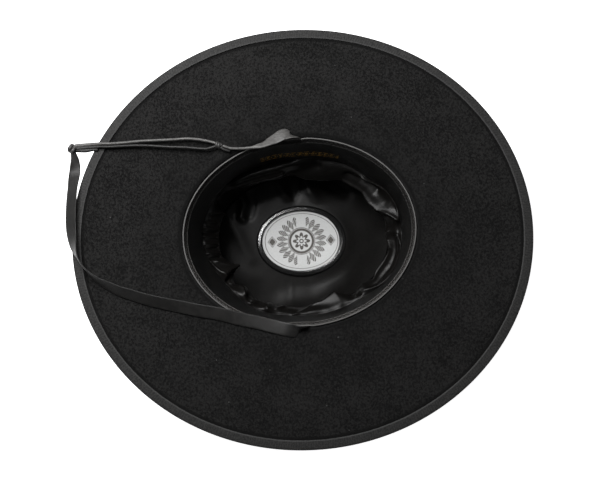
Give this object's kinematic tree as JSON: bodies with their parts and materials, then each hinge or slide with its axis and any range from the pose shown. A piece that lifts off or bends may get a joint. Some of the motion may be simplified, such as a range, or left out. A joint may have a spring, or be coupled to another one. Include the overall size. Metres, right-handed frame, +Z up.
{
  "type": "gaucho hat",
  "caption": "Wide-brimmed black felt hat with a low flat crown, shown upside down, with leather sweatband, satin lining and leather chin strap with sliding knots.",
  "frame": {"origin": "centre of the flat outer top of the crown, on which the hat rests upside down", "axes": "+Z up out of the head opening, +X to the front of the hat, +Y to the wearer's right"},
  "size_m": [0.4024, 0.365, 0.1132],
  "materials": {
    "felt": "matte short-napped black felt",
    "binding": "grosgrain ribbon, black",
    "sweatband_leather": "smooth black leather with a gold stamped border",
    "satin": "glossy black satin",
    "label": null,
    "clear_cover": "clear, glossy",
    "strap_leather": "dark brown-black leather, semi-matte"
  },
  "bodies": {
    "root": {"felt_body": "felt", "brim_binding": "binding", "sweatband": "sweatband_leather", "lining_side": "satin", "lining_tip": "satin", "tip_label": "label", "tip_protector": "clear_cover", "lower_chin_strap": "strap_leather", "upper_chin_strap": "strap_leather", "outer_sliding_knot": "strap_leather", "inner_sliding_knot": "strap_leather", "outer_knot_end": "strap_leather", "inner_knot_end": "strap_leather"}
  },
  "joints": []
}
